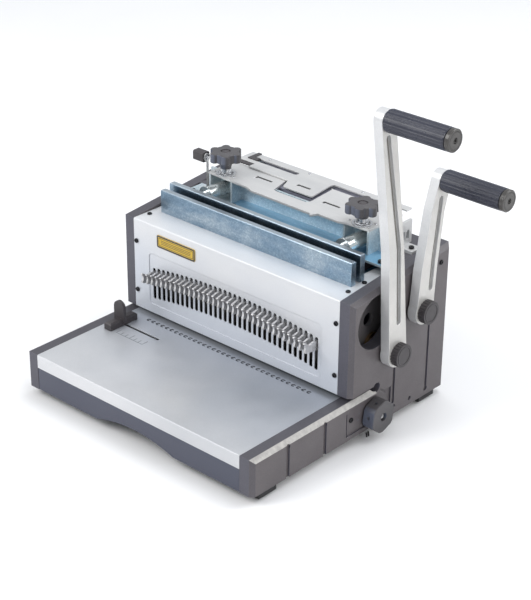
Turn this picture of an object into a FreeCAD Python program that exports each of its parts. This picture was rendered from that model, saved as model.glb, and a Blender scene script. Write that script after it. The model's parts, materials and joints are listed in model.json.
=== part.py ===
import FreeCAD, Part
import math
import os

# Wire comb binding machine with a punching lever and a closing lever, in millimetres.
# The model is built about the middle of the body: X runs to the right, Y to the rear from the
# front panel, Z up from the underside of the side frames. place() then moves every piece so that
# the origin lies on the table under the middle of the whole machine, levers included.

# ---------------------------------------------------------------- driving dimensions
PITCH = 25.4 / 3
LOOPS = 34
ROW_HALF = PITCH * (LOOPS - 1) / 2
ROW_RISE = 11.5
LOOP_SLOT = 5.4
PANEL_SHEET = 1.2
FIELD_PRESS = 1.0
LOOP_SLOT_Z = (77.3, 122.6)
HOOK_THICK = 2.8
HOOK_SHIFT = -0.6
HOOK_ROOT_Z = (105.0, 118.0)

PANEL_HALF = 175.3
FRAME_IN = 175.5
FRAME_OUT = 196.0
FRONT_Y = -175.0
REAR_Y = 192.0
BASE_TOP = 50.5
THROAT = 6.0
THROAT_END = 52.0
TOWER_BOTTOM = BASE_TOP + THROAT
TOWER_FRONT_TOP = 184.5
TOWER_SLOPE = 0.091
FOOT_HEIGHT = 12.0
COVER_BEVEL = 5.5
SHEET = 1.5

PIN_Y = 25.0
PIN_SIDE = 4.0
PUNCH_STROKE = 12.0
GUIDE_TOP = TOWER_BOTTOM + 7.5
POST_R = 5.0
POST_X = 151.0

PUNCH_PIVOT = (69.5, 99.5)
PUNCH_GRIP = (32.0, 413.5)
CLOSE_PIVOT = (120.8, 138.9)
CLOSE_GRIP = (148.0, 304.5)
PUNCH_SWING = 85.0
CLOSE_SWING = 75.0
ARM_IN = 199.0
ARM_OUT = 212.0
GROOVE_DEPTH = 4.2
GROOVE_R = 4.1
BOSS_R = 18.0
SHAFT_R = 8.0
RUN = 0.05
GRIP_R = 14.0
GRIP_START = 213.0
GRIP_LEN = 84.0
GRIP_CAP_LEN = 6.5
SPINDLE_R = 5.0

DECK_Z = TOWER_FRONT_TOP
JAW_HALF = 161.5
JAW_THICK = 8.5
FRONT_JAW_Y = 37.0
FRONT_JAW_TOP = 216.0
JAW_GAP = 8.0
JAW_STROKE = 6.5
MOVING_JAW_Y = FRONT_JAW_Y + JAW_THICK + JAW_GAP
MOVING_JAW_TOP = 221.0
ROD_X = 116.5
ROD_Z = 210.0
ROD_R = 6.0
BUSH_R = 10.0
BUSH_RIM = 1.9

RAIL_HALF = 112.5
ARCH_HALF = 69.0
ARCH_TOP = 11.7
REAR_WALL_Y = 188.5
REAR_DECK_Z = 196.0

BRACKET_FLOOR_Z = 196.5
BRACKET_WALL_Y = 120.0
BRACKET_INNER_X = 97.0
BRACKET_OUTER_X = 135.5
TOP_Z = 230.0
TOP_THICK = 3.0
STOP_THICK = 2.0

KNOB_X = 115.5
KNOB_Y = 112.0
KNOB_Z_LEFT = 248.5
KNOB_Z_RIGHT = 245.0
KNOB_HEIGHT = 13.0
HUB_BOTTOM = 238.0
LOBE_R = 6.0
LOBE_CENTRE_R = 16.4
LOBE_DISC_R = 17.6
STUD_R = 4.0

SIZE_PLATE_X = (-139.7, -138.3)
SIZE_KNOB_YZ = (100.5, 249.5)
SIZE_KNOB_LEN = 18.0

MARGIN_YZ = (46.0, 20.0)
MARGIN_FACE_X = 213.0
MARGIN_BACK_X = 196.4
MARGIN_SHAFT_R = 5.0
MARGIN_THROW = 2.0

WINDOW_YZ = (46.0, 146.5)
WINDOW_R = 35.5

CAM_R = 20.0
CLOSE_CAM_R = 15.0
CAM_X0, CAM_X1 = 122.0, 132.0
ECC_PUNCH = PUNCH_STROKE / (2 * math.sin(math.radians(PUNCH_SWING / 2)))
ECC_CLOSE = JAW_STROKE / (2 * math.sin(math.radians(CLOSE_SWING / 2)))

GRIP_END = GRIP_START + GRIP_LEN + GRIP_CAP_LEN + 0.5
OFFSET = FreeCAD.Vector(-(GRIP_END - FRAME_OUT) / 2, -(REAR_Y + FRONT_Y) / 2, FOOT_HEIGHT)

X_AXIS = FreeCAD.Vector(1, 0, 0)
Y_AXIS = FreeCAD.Vector(0, 1, 0)
Z_AXIS = FreeCAD.Vector(0, 0, 1)


# ---------------------------------------------------------------- helpers
def vec(x, y, z):
    return FreeCAD.Vector(x, y, z)


def block(x0, x1, y0, y1, z0, z1):
    """Box between two corners."""
    return Part.makeBox(x1 - x0, y1 - y0, z1 - z0, vec(x0, y0, z0))


def rod_x(radius, x0, x1, centre):
    """Cylinder along X; centre is (y, z)."""
    return Part.makeCylinder(radius, x1 - x0, vec(x0, centre[0], centre[1]), X_AXIS)


def rod_y(radius, y0, y1, x, z):
    return Part.makeCylinder(radius, y1 - y0, vec(x, y0, z), Y_AXIS)


def rod_z(radius, z0, z1, x, y):
    return Part.makeCylinder(radius, z1 - z0, vec(x, y, z0), Z_AXIS)


def prism_x(points, x0, x1):
    """Polygon of (y, z) points, drawn out along X."""
    wire = Part.makePolygon([vec(x0, y, z) for y, z in points + points[:1]])
    return Part.Face(wire).extrude(vec(x1 - x0, 0, 0))


def prism_z(points, z0, z1):
    """Polygon of (x, y) points, drawn out along Z."""
    wire = Part.makePolygon([vec(x, y, z0) for x, y in points + points[:1]])
    return Part.Face(wire).extrude(vec(0, 0, z1 - z0))


def round_slot_xz(x, z0, z1, width, y0, y1):
    """Upright slot with round ends, through a panel that faces Y."""
    r = width / 2
    body = block(x - r, x + r, y0, y1, z0 + r, z1 - r)
    return body.fuse([rod_y(r, y0, y1, x, z0 + r), rod_y(r, y0, y1, x, z1 - r)]).removeSplitter()


def mirrored(shape):
    return shape.mirror(vec(0, 0, 0), X_AXIS)


def both_sides(shape):
    return [shape, mirrored(shape)]


def group(shapes):
    solids = [s for shape in shapes for s in shape.Solids]
    return solids[0] if len(solids) == 1 else Part.makeCompound(solids)


def place(name, shape):
    """Move a finished piece into the machine's frame and write it."""
    moved = shape.copy()
    moved.translate(OFFSET)
    moved.exportStep("parts/" + name + ".step")


def tower_top(y):
    return TOWER_FRONT_TOP + TOWER_SLOPE * y


def loop_x(i):
    return -ROW_HALF + PITCH * i


def row_lift(x):
    """The loop row is a shallow arch, highest in the middle."""
    return ROW_RISE * (1 - (x / ROW_HALF) ** 2)


# ---------------------------------------------------------------- side covers
def cover_shell():
    """Right cover: low base and tower round the paper throat, hollow towards the inside."""
    wall = 3.0
    side = 5.0
    outline = [(FRONT_Y, 0), (REAR_Y, 0), (REAR_Y, tower_top(REAR_Y)), (0, TOWER_FRONT_TOP),
               (0, TOWER_BOTTOM), (THROAT_END, TOWER_BOTTOM), (THROAT_END, BASE_TOP), (FRONT_Y, BASE_TOP)]
    shell = prism_x(outline, FRAME_IN, FRAME_OUT)
    edges = []
    for edge in shell.Edges:
        ends = [v.Point for v in edge.Vertexes]
        if any(abs(p.x - FRAME_OUT) > 0.01 for p in ends):
            continue
        middle = (ends[0] + ends[1]) * 0.5
        at_base_top = abs(middle.z - BASE_TOP) < 0.01 and middle.y < 0
        at_front = abs(middle.y - FRONT_Y) < 0.01 or (abs(middle.y) < 0.01 and middle.z > TOWER_BOTTOM)
        at_top = middle.z > TOWER_FRONT_TOP
        at_rear = abs(middle.y - REAR_Y) < 0.01
        if at_base_top or at_front or at_top or at_rear:
            edges.append(edge)
    shell = shell.makeChamfer(COVER_BEVEL, edges)
    cavity = [(FRONT_Y + wall, wall), (REAR_Y - wall, wall), (REAR_Y - wall, tower_top(REAR_Y) - wall),
              (wall, TOWER_FRONT_TOP - wall), (wall, TOWER_BOTTOM + wall),
              (THROAT_END + 8, TOWER_BOTTOM + wall), (THROAT_END + 8, BASE_TOP - wall),
              (FRONT_Y + wall, BASE_TOP - wall)]
    shell = shell.cut(prism_x(cavity, FRAME_IN - 1, FRAME_OUT - side))
    throat_eye = rod_x(6.5, FRAME_IN - 1, FRAME_OUT + 1, (THROAT_END - 1, BASE_TOP + THROAT / 2))
    collar = rod_x(9.5, FRAME_IN, FRAME_OUT - side, (THROAT_END - 1, BASE_TOP + THROAT / 2))
    throat = block(FRAME_IN - 1, FRAME_OUT, -20, THROAT_END, BASE_TOP - 20, BASE_TOP + 30)
    return shell.fuse(collar.cut(throat)).cut(throat_eye)


def cover_grooves():
    """Upright grooves in the cover's outer face, each with a round top."""
    depth = 2.5
    cuts = []
    for y, z0, z1, width in ((-113.0, -1, 42, 6), (-46.0, -1, 42, 6), (85.0, 16, 172, 5), (152.5, 9.6, 178, 4.5)):
        cuts.append(block(FRAME_OUT - depth, FRAME_OUT + 1, y - width / 2, y + width / 2, z0, z1))
        cuts.append(rod_x(width / 2 + 0.8, FRAME_OUT - depth, FRAME_OUT + 1, (y, z1)))
    for y, z, radius in ((119.5, 9.0, 3.0), (152.5, 9.6, 3.6), (87.5, 11.0, 2.6)):
        cuts.append(rod_x(radius, FRAME_OUT - depth, FRAME_OUT + 1, (y, z)))
    return cuts


def margin_recess():
    """Sunk field round the margin knob, with a deeper groove at its front edge."""
    field = block(FRAME_OUT - 2, FRAME_OUT + 1, -2, 80, 6, 43)
    groove = block(FRAME_OUT - 3.5, FRAME_OUT + 1, -6, -2, 6, 39)
    arch_low = rod_x(31, FRAME_OUT - 2.5, FRAME_OUT + 1, MARGIN_YZ)
    arch = arch_low.cut(rod_x(28, FRAME_OUT - 3, FRAME_OUT + 2, MARGIN_YZ))
    arch = arch.common(block(FRAME_OUT - 3, FRAME_OUT + 2, 58, 90, 36, 60))
    return [field, groove, arch]


def side_covers():
    left = cover_shell()
    right = left.copy()
    for cut in cover_grooves():
        left = left.cut(cut)
        right = right.cut(cut)
    for cut in margin_recess():
        right = right.cut(cut)
    window_collar = rod_x(WINDOW_R + 2.5, FRAME_IN + 4, FRAME_OUT - 5, WINDOW_YZ)
    window_collar = window_collar.cut(block(FRAME_IN, FRAME_OUT, -50, 3, 0, 300))
    high = prism_x([(-60, tower_top(-60) - 3), (200, tower_top(200) - 3), (200, 300), (-60, 300)], 0, FRAME_OUT)
    right = right.fuse(window_collar.cut(high)).cut(rod_x(WINDOW_R, FRAME_IN - 1, FRAME_OUT + 1, WINDOW_YZ))
    for pivot in (PUNCH_PIVOT, CLOSE_PIVOT):
        right = right.cut(rod_x(SHAFT_R + 2.5, FRAME_IN - 1, FRAME_OUT + 1, pivot))
    right = right.cut(rod_x(6.5, FRAME_IN - 1, FRAME_OUT + 1, MARGIN_YZ))
    place("right_side_cover", right)
    place("left_side_cover", mirrored(left))


# ---------------------------------------------------------------- sheet metal body
def guide_slot():
    """Slot in the tray that the edge guide runs along."""
    y = -41.0
    return block(-160, -93, y - 2.2, y + 2.2, BASE_TOP - 5, BASE_TOP + 5).fuse(
        [rod_z(2.2, BASE_TOP - 5, BASE_TOP + 5, x, y) for x in (-160, -93)])


def paper_tray():
    lip_bottom = 32.0
    top = block(-PANEL_HALF, PANEL_HALF, FRONT_Y, 8, BASE_TOP - SHEET, BASE_TOP)
    lip = block(-PANEL_HALF, PANEL_HALF, FRONT_Y, FRONT_Y + SHEET, lip_bottom, BASE_TOP)
    sides = [block(s * PANEL_HALF - (SHEET if s > 0 else 0), s * PANEL_HALF + (SHEET if s < 0 else 0),
                   FRONT_Y, 8, 39, BASE_TOP) for s in (-1, 1)]
    tray = top.fuse([lip] + sides).removeSplitter()
    fold = [e for e in tray.Edges
            if abs(e.BoundBox.YMin - FRONT_Y) < 0.01 and abs(e.BoundBox.YMax - FRONT_Y) < 0.01
            and abs(e.BoundBox.ZMin - BASE_TOP) < 0.01 and e.Length > PANEL_HALF]
    tray = tray.makeFillet(1.4, fold)
    marks = Part.makeCompound([rod_z(1.6, BASE_TOP - 0.5, BASE_TOP + 1, loop_x(i), -11) for i in range(LOOPS)])
    place("paper_tray", tray.cut(guide_slot()).cut(marks))


def front_panel():
    """Tower front: pressed field, loop slots and a deck folded to the rear."""
    sheet = block(-PANEL_HALF, PANEL_HALF, 0, PANEL_SHEET, TOWER_BOTTOM, DECK_Z)
    deck = block(-PANEL_HALF, PANEL_HALF, 0, 66, DECK_Z - 2, DECK_Z)
    wings = both_sides(block(150, PANEL_HALF, 60, 130, DECK_Z - 2, DECK_Z))
    panel = sheet.fuse([deck] + wings).removeSplitter()
    fold = [e for e in panel.Edges if abs(e.BoundBox.YMin) < 0.01 and abs(e.BoundBox.YMax) < 0.01
            and abs(e.BoundBox.ZMin - DECK_Z) < 0.01 and e.Length > PANEL_HALF]
    panel = panel.makeFillet(1.8, fold)
    field_x, field_z0, field_z1 = 148.5, 69.0, 143.0
    field = block(-field_x, field_x, -1, FIELD_PRESS, field_z0, field_z1)
    field = field.makeFillet(7, [e for e in field.Edges if e.BoundBox.YLength > 1])
    bulge = block(-field_x - 2, field_x + 2, PANEL_SHEET, PANEL_SHEET + FIELD_PRESS, field_z0 - 2, field_z1 + 2)
    panel = panel.fuse(bulge).removeSplitter().cut(field)
    slots = []
    for i in range(LOOPS):
        x = loop_x(i)
        low, high = (z + row_lift(x) for z in LOOP_SLOT_Z)
        slots.append(round_slot_xz(x, low, high, LOOP_SLOT, -1, 5))
    panel = panel.cut(Part.makeCompound(slots))
    place("front_panel", panel)


def base_pan():
    place("base_pan", block(-PANEL_HALF, PANEL_HALF, -150, 188, 0, 3))


def rear_cover():
    """Rear wall folded forward over the mechanism, notched for the jaw carriages."""
    wall = block(-PANEL_HALF, PANEL_HALF, REAR_WALL_Y, REAR_WALL_Y + 2, 3.2, REAR_DECK_Z)
    deck = block(-PANEL_HALF, PANEL_HALF, BRACKET_WALL_Y + 3.3, REAR_WALL_Y + 2, REAR_DECK_Z - 2, REAR_DECK_Z)
    cover = wall.fuse(deck).removeSplitter()
    fold = [e for e in cover.Edges if abs(e.BoundBox.YMin - REAR_WALL_Y - 2) < 0.01
            and abs(e.BoundBox.ZMin - REAR_DECK_Z) < 0.01 and e.Length > PANEL_HALF]
    cover = cover.makeFillet(1.9, fold)
    notch = block(ROD_X - 7, ROD_X + 7, 141, 187, REAR_DECK_Z - 5, REAR_DECK_Z + 5)
    place("rear_cover", cover.cut(Part.makeCompound(both_sides(notch))))


def side_plates():
    """Steel C-plates that carry the shafts and bridge the throat."""
    x0, x1 = 165.0, 170.0
    outline = [(10, 3), (180, 3), (180, DECK_Z - 2), (10, DECK_Z - 2), (10, TOWER_BOTTOM),
               (THROAT_END, TOWER_BOTTOM), (THROAT_END, BASE_TOP), (10, BASE_TOP)]
    plate = prism_x(outline, x0, x1)
    for pivot in (PUNCH_PIVOT, CLOSE_PIVOT):
        plate = plate.cut(rod_x(12.05, x0 - 1, x1 + 1, pivot))
    left = mirrored(plate)
    sight_hole = (WINDOW_YZ[0] + 16, WINDOW_YZ[1] - 12)
    plate = plate.cut(rod_x(9, x0 - 1, x1 + 1, sight_hole))
    plate = plate.cut(rod_x(MARGIN_SHAFT_R + RUN, x0 - 1, x1 + 1, MARGIN_YZ))
    place("right_side_plate", plate)
    place("left_side_plate", left)


def shaft_bushes():
    """Flanged bronze bushes of the two lever shafts."""
    bushes = []
    for pivot in (PUNCH_PIVOT, CLOSE_PIVOT):
        bush = rod_x(12.0, 165, 170, pivot).fuse(rod_x(14.5, 170, 173, pivot))
        bush = bush.cut(rod_x(SHAFT_R + RUN, 160, 180, pivot))
        bushes += both_sides(bush)
    place("shaft_bushes", group(bushes))


# ---------------------------------------------------------------- punching
def square_holes(side, z0, z1):
    h = side / 2
    return Part.makeCompound([block(loop_x(i) - h, loop_x(i) + h, PIN_Y - h, PIN_Y + h, z0, z1)
                              for i in range(LOOPS)])


def die_and_guide():
    die = block(-164.8, 164.8, 8.2, 50, 32, BASE_TOP).cut(square_holes(PIN_SIDE + 0.2, 20, 60))
    place("die_block", die)
    guide = block(-164.8, 164.8, 10, 45, TOWER_BOTTOM, GUIDE_TOP)
    place("pin_guide_block", guide.cut(square_holes(PIN_SIDE + 0.2, 50, 80)))
    place("bar_guide_posts", group(both_sides(rod_z(POST_R, GUIDE_TOP, 122, POST_X, PIN_Y))))


def punch_unit():
    """Pins, the bar that drives them and the two yokes round the eccentrics."""
    h = PIN_SIDE / 2
    tip, head = TOWER_BOTTOM + 0.8, 80.0
    pins = []
    for i in range(LOOPS):
        x = loop_x(i)
        shank = block(x - h, x + h, PIN_Y - h, PIN_Y + h, tip, head)
        pins.append(shank.fuse(block(x - 3, x + 3, PIN_Y - 3, PIN_Y + 3, head - 3, head)).removeSplitter())
    place("punch_pins", group(pins))
    bar = block(-160, 160, 13, 37, head, head + 20)
    bar = bar.cut(Part.makeCompound(both_sides(rod_z(POST_R + RUN, 70, 110, POST_X, PIN_Y))))
    place("punch_bar", bar)
    place("punch_yokes", group(both_sides(punch_yoke())))


def cam_centre_punch():
    half = math.radians(PUNCH_SWING / 2)
    return (PUNCH_PIVOT[0] - ECC_PUNCH * math.cos(half), PUNCH_PIVOT[1] + ECC_PUNCH * math.sin(half))


def cam_centre_close():
    half = math.radians(CLOSE_SWING / 2)
    return (CLOSE_PIVOT[0] + ECC_CLOSE * math.sin(half), CLOSE_PIVOT[1] - ECC_CLOSE * math.cos(half))


def punch_yoke():
    """Scotch yoke: a plate with a window that the eccentric drives up and down."""
    cam_y, cam_z = cam_centre_punch()
    clear = 0.6
    reach = ECC_PUNCH * (1 - math.cos(math.radians(PUNCH_SWING / 2))) + 1.5
    y0, y1 = cam_y - CAM_R - reach, cam_y + CAM_R + 1.5
    z0, z1 = cam_z - CAM_R - clear, cam_z + CAM_R + clear
    plate = block(CAM_X0, CAM_X1, 37.2, y1 + 8, z0 - 6, z1 + 8)
    lug = block(CAM_X0 - 8, CAM_X1 + 8, 37, 40, 80, z1 + 8)
    return plate.fuse(lug).cut(block(CAM_X0 - 1, CAM_X1 + 1, y0, y1, z0, z1)).removeSplitter()


def hook_profile(x, lift):
    """One flat hook: deep root in the slot, waist, and a fishtail tip with a horn above and below."""
    low, high = (z + lift for z in HOOK_ROOT_Z)
    outline = [(7.0, low), (0.0, low), (-5.0, low + 1.0), (-10.5, low + 1.6), (-16.0, low + 2.6),
               (-19.0, low + 2.8), (-21.4, low + 4.2), (-20.2, low + 7.0), (-19.6, low + 10.5),
               (-20.2, low + 13.6), (-22.2, low + 16.6), (-21.2, low + 17.4), (-18.0, low + 16.6),
               (-15.6, low + 13.4), (-13.4, low + 11.8), (-9.0, low + 12.2), (-5.0, high + 0.6), (0.0, high),
               (7.0, high)]
    start = x + HOOK_SHIFT - HOOK_THICK / 2
    return prism_x(outline, start, start + HOOK_THICK)


def hook_comb():
    """Rail behind the panel with one hook per loop."""
    steps = []
    low, high = HOOK_ROOT_Z
    for i in range(LOOPS):
        x = loop_x(i)
        lift = row_lift(x)
        half = PITCH / 2
        steps.append(block(x - half, x + half, 3.6, 7.0, low + lift, high + lift).fuse(hook_profile(x, lift)))
    comb = steps[0].fuse(steps[1:]).removeSplitter()
    place("hook_comb", comb)


# ---------------------------------------------------------------- levers
def capsule_path(points, x0, x1):
    """Flat arm along a line of (y, z, half width) points, round at every point."""
    arm = None
    for (ya, za, wa), (yb, zb, wb) in zip(points, points[1:]):
        length = math.hypot(yb - ya, zb - za)
        ny, nz = -(zb - za) / length, (yb - ya) / length
        side = [(ya + ny * wa, za + nz * wa), (yb + ny * wb, zb + nz * wb),
                (yb - ny * wb, zb - nz * wb), (ya - ny * wa, za - nz * wa)]
        piece = prism_x(side, x0, x1).fuse(rod_x(wb, x0, x1, (yb, zb)))
        arm = piece if arm is None else arm.fuse(piece)
    return arm


def groove_path(points, depth, radius):
    """Long round-ended groove in the arm's outer face."""
    line = [(y, z, radius) for y, z in points]
    ends = capsule_path(line, ARM_OUT - depth, ARM_OUT + 1)
    return ends.fuse(rod_x(radius, ARM_OUT - depth, ARM_OUT + 1, points[0]))


def lever_arm(points, groove, pivot, grip):
    arm = capsule_path(points, ARM_IN, ARM_OUT)
    arm = arm.fuse(rod_x(BOSS_R, ARM_IN, ARM_OUT, pivot)).removeSplitter()
    arm = arm.cut(groove_path(groove, GROOVE_DEPTH, GROOVE_R))
    arm = arm.cut(rod_x(SHAFT_R + RUN, ARM_IN - 1, ARM_OUT + 1, pivot))
    return arm.cut(rod_x(SPINDLE_R + RUN, ARM_IN - 1, ARM_OUT + 1, grip))


def knurled_cap(pivot):
    """Knurled clamp cap on the lever boss."""
    radius, teeth = 15.0, 22
    cap = rod_x(radius, ARM_OUT, ARM_OUT + 10, pivot)
    cuts = []
    for i in range(teeth):
        angle = 2 * math.pi * i / teeth
        centre = (pivot[0] + (radius + 0.3) * math.cos(angle), pivot[1] + (radius + 0.3) * math.sin(angle))
        cuts.append(rod_x(1.1, ARM_OUT - 1, ARM_OUT + 8.5, centre))
    return cap.cut(Part.makeCompound(cuts))


def ribbed_grip(centre):
    """Hand grip with fine ribs along its length, bored for its spindle."""
    ribs = 20
    grip = rod_x(GRIP_R - 0.5, GRIP_START, GRIP_START + GRIP_LEN, centre)
    teeth = []
    for i in range(ribs):
        angle = 2 * math.pi * i / ribs
        y = centre[0] + (GRIP_R - 1.1) * math.cos(angle)
        z = centre[1] + (GRIP_R - 1.1) * math.sin(angle)
        teeth.append(rod_x(1.1, GRIP_START + 1.5, GRIP_START + GRIP_LEN - 1.5, (y, z)))
    grip = grip.fuse(teeth)
    return grip.cut(rod_x(SPINDLE_R + RUN, GRIP_START - 1, GRIP_END, centre)).removeSplitter()


def grip_cap(centre):
    x0 = GRIP_START + GRIP_LEN
    cap = rod_x(GRIP_R - 1.6, x0, x0 + 1.5, centre).fuse(rod_x(GRIP_R - 0.2, x0 + 1.5, GRIP_END, centre))
    rim = [e for e in cap.Edges if abs(e.BoundBox.XMin - GRIP_END) < 0.01]
    cap = cap.makeChamfer(1.0, rim)
    cap = cap.cut(rod_x(SPINDLE_R + RUN, x0 - 1, GRIP_END - 4, centre))
    return cap.cut(rod_x(2.0, x0, GRIP_END + 1, centre))


def eccentric(pivot, centre, radius, x0, x1):
    disc = rod_x(radius, x0, x1, centre)
    return disc.cut(rod_x(SHAFT_R + RUN, x0 - 1, x1 + 1, pivot))


def levers():
    punch_line = [PUNCH_PIVOT + (16.8,), (58.0, 242.0, 13.8), PUNCH_GRIP + (12.5,)]
    close_line = [CLOSE_PIVOT + (16.5,), (125.0, 192.0, 15.5), (136.5, 268.0, 13.0), CLOSE_GRIP + (12.5,)]
    punch_groove = [(68.2, 144.0), (61.8, 243.0), (32.5, 391.0)]
    close_groove = [(129.5, 168.0), (132.0, 205.0), (141.5, 282.0)]
    sets = (("punch", punch_line, punch_groove, PUNCH_PIVOT, PUNCH_GRIP),
            ("closing", close_line, close_groove, CLOSE_PIVOT, CLOSE_GRIP))
    for name, line, groove, pivot, grip in sets:
        place(name + "_arm", lever_arm(line, groove, pivot, grip))
        place(name + "_arm_cap", knurled_cap(pivot))
        place(name + "_shaft", rod_x(SHAFT_R, -174, ARM_OUT, pivot))
        place(name + "_grip_spindle", rod_x(SPINDLE_R, ARM_IN, GRIP_END - 4.5, grip))
        place(name + "_grip", ribbed_grip(grip))
        place(name + "_grip_cap", grip_cap(grip))
    cams = both_sides(eccentric(PUNCH_PIVOT, cam_centre_punch(), CAM_R, CAM_X0, CAM_X1))
    place("punch_eccentrics", group(cams))
    x0, x1 = ROD_X - 4, ROD_X + 4
    place("closing_eccentrics", group(both_sides(
        eccentric(CLOSE_PIVOT, cam_centre_close(), CLOSE_CAM_R, x0, x1))))


# ---------------------------------------------------------------- closing head
def jaws():
    front = block(-JAW_HALF, JAW_HALF, FRONT_JAW_Y, FRONT_JAW_Y + JAW_THICK, DECK_Z, FRONT_JAW_TOP)
    place("front_jaw", bevel_top(front, FRONT_JAW_TOP))
    moving = block(-JAW_HALF, JAW_HALF, MOVING_JAW_Y, MOVING_JAW_Y + JAW_THICK, DECK_Z + 0.6, MOVING_JAW_TOP)
    place("moving_jaw", bevel_top(moving, MOVING_JAW_TOP))


def bevel_top(bar, top):
    edges = [e for e in bar.Edges if abs(e.BoundBox.ZMin - top) < 0.01 and abs(e.BoundBox.ZMax - top) < 0.01]
    return bar.makeChamfer(0.8, edges)


def bracket():
    """Folded bracket behind the jaws: floor, rear wall and four upright cheeks."""
    t = 3.0
    floor = block(-170, 170, 88, BRACKET_WALL_Y + t, BRACKET_FLOOR_Z - 3, BRACKET_FLOOR_Z)
    wall = block(-150, 150, BRACKET_WALL_Y, BRACKET_WALL_Y + t, BRACKET_FLOOR_Z - 3, TOP_Z - TOP_THICK)
    cheeks = []
    for x in (BRACKET_INNER_X, BRACKET_OUTER_X):
        cheeks += both_sides(block(x - t, x, 101, BRACKET_WALL_Y + t, BRACKET_FLOOR_Z - 3, TOP_Z - TOP_THICK))
    legs = both_sides(block(170 - t, 170, 88, BRACKET_WALL_Y + t, DECK_Z, BRACKET_FLOOR_Z))
    body = floor.fuse([wall] + cheeks + legs).removeSplitter()
    holes = both_sides(rod_y(ROD_R + 0.5, BRACKET_WALL_Y - 5, BRACKET_WALL_Y + 9, ROD_X, ROD_Z))
    place("jaw_bracket", body.cut(Part.makeCompound(holes)))


def guide_bushes():
    """Bushes that the jaw's push rods slide in."""
    bush = rod_y(BUSH_R, 78, BRACKET_WALL_Y, ROD_X, ROD_Z).fuse(rod_y(BUSH_R + BUSH_RIM, 74.5, 77, ROD_X, ROD_Z))
    bush = bush.fuse(rod_y(BUSH_R - 1.5, 74.5, 80, ROD_X, ROD_Z))
    bush = bush.cut(rod_y(ROD_R + RUN, 70, BRACKET_WALL_Y + 1, ROD_X, ROD_Z))
    place("guide_bushes", group(both_sides(bush)))


def closing_slide():
    """What moves with the jaw: push rods, carriages round the eccentrics and the stop plate."""
    place("push_rods", group(both_sides(rod_y(ROD_R, MOVING_JAW_Y + JAW_THICK, 150, ROD_X, ROD_Z))))
    cam_y, cam_z = cam_centre_close()
    clear = 0.5
    reach = ECC_CLOSE * (1 - math.cos(math.radians(CLOSE_SWING / 2))) + 1.5
    y0, y1 = cam_y - CLOSE_CAM_R - clear, cam_y + CLOSE_CAM_R + clear
    z0, z1 = cam_z - CLOSE_CAM_R - reach, cam_z + CLOSE_CAM_R + 1.5
    x0, x1 = ROD_X - 4, ROD_X + 4
    ring = block(x0, x1, y0 - 7, y1 + 9, z0 - 7, z1 + 8)
    riser = block(x0, x1, 150, 185, z1, 219.8)
    post = block(x0, x1, 176, 185, 219.8, TOP_Z + 0.4)
    carriage = ring.fuse([riser, block(x0, x1, y1, 168, z1 - 10, z1 + 8), post])
    carriage = carriage.cut(block(x0 - 1, x1 + 1, y0, y1, z0, z1)).removeSplitter()
    place("jaw_carriages", group(both_sides(carriage)))
    place("stop_plate", stop_plate())
    rail = block(-RAIL_HALF, RAIL_HALF, 130.5, 187, 222.0, 226.6)
    place("slide_rail", rail)


def stop_plate():
    """Rear top plate: a tongue reaches into the cover plate's cut-out as the jaw closes."""
    z0 = TOP_Z + 0.4
    edge = 135.5
    outline = [(-edge, 158), (-106, 158), (-106, 146), (-36.5, 146), (-29.0, 128.5), (-27.0, 127), (19.0, 127),
               (20.5, 128.5), (15.0, 170), (17.0, 176), (edge, 176), (edge, 187), (-edge, 187)]
    plate = prism_z(outline, z0, z0 + STOP_THICK)
    slot = block(-124, -44, 166, 174.5, z0 - 1, z0 + 4).fuse(rod_z(4.25, z0 - 1, z0 + 4, -44, 170.25))
    window = lanced_window(-18, 137.5, 22, 8.5, z0, z0 + STOP_THICK)
    return plate.cut(slot).cut(window)


def slide_end_cap():
    z0 = TOP_Z + 0.4
    cap = block(-124, -110, 166.2, 174.3, z0, z0 + STOP_THICK + 1.2)
    cap = cap.fuse(block(-126, -120, 166.2, 188, z0 + STOP_THICK, z0 + STOP_THICK + 1.2))
    place("slide_end_cap", cap.removeSplitter())


def lanced_window(x0, y0, length, width, low, high):
    """Cutter for a sunk rectangle with a slit along its rear and left edges."""
    slit = 3.0
    sunk = block(x0, x0 + length, y0, y0 + width, high - 0.7, high + 1)
    rear = block(x0, x0 + length, y0 + width - slit, y0 + width, low - 1, high + 1)
    left = block(x0, x0 + slit, y0 + width / 2, y0 + width, low - 1, high + 1)
    return sunk.fuse([rear, left])


def top_plate():
    """Fixed top plate with a stepped front edge, a stepped rear edge and two windows."""
    edge = BRACKET_OUTER_X
    outline = [(-edge, 101), (-66, 98), (-53, 93), (48, 91), (52, 86.5), (57, 96.5), (90, 96), (100, 100),
               (edge, 102), (edge, 168), (18.5, 168), (21.5, 166), (25.5, 124), (25.5, 117), (22, 113),
               (-28, 113), (-33.5, 115), (-41.0, 147), (-42, 150), (-edge, 150)]
    plate = prism_z(outline, TOP_Z - TOP_THICK, TOP_Z)
    for x0, y0 in ((-78.5, 124), (38.5, 121.5)):
        plate = plate.cut(lanced_window(x0, y0, 27, 10, TOP_Z - TOP_THICK, TOP_Z))
    for side in (-1, 1):
        plate = plate.cut(rod_z(STUD_R + 0.3, TOP_Z - 5, TOP_Z + 5, side * KNOB_X, KNOB_Y))
    place("top_cover_plate", plate)


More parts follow.
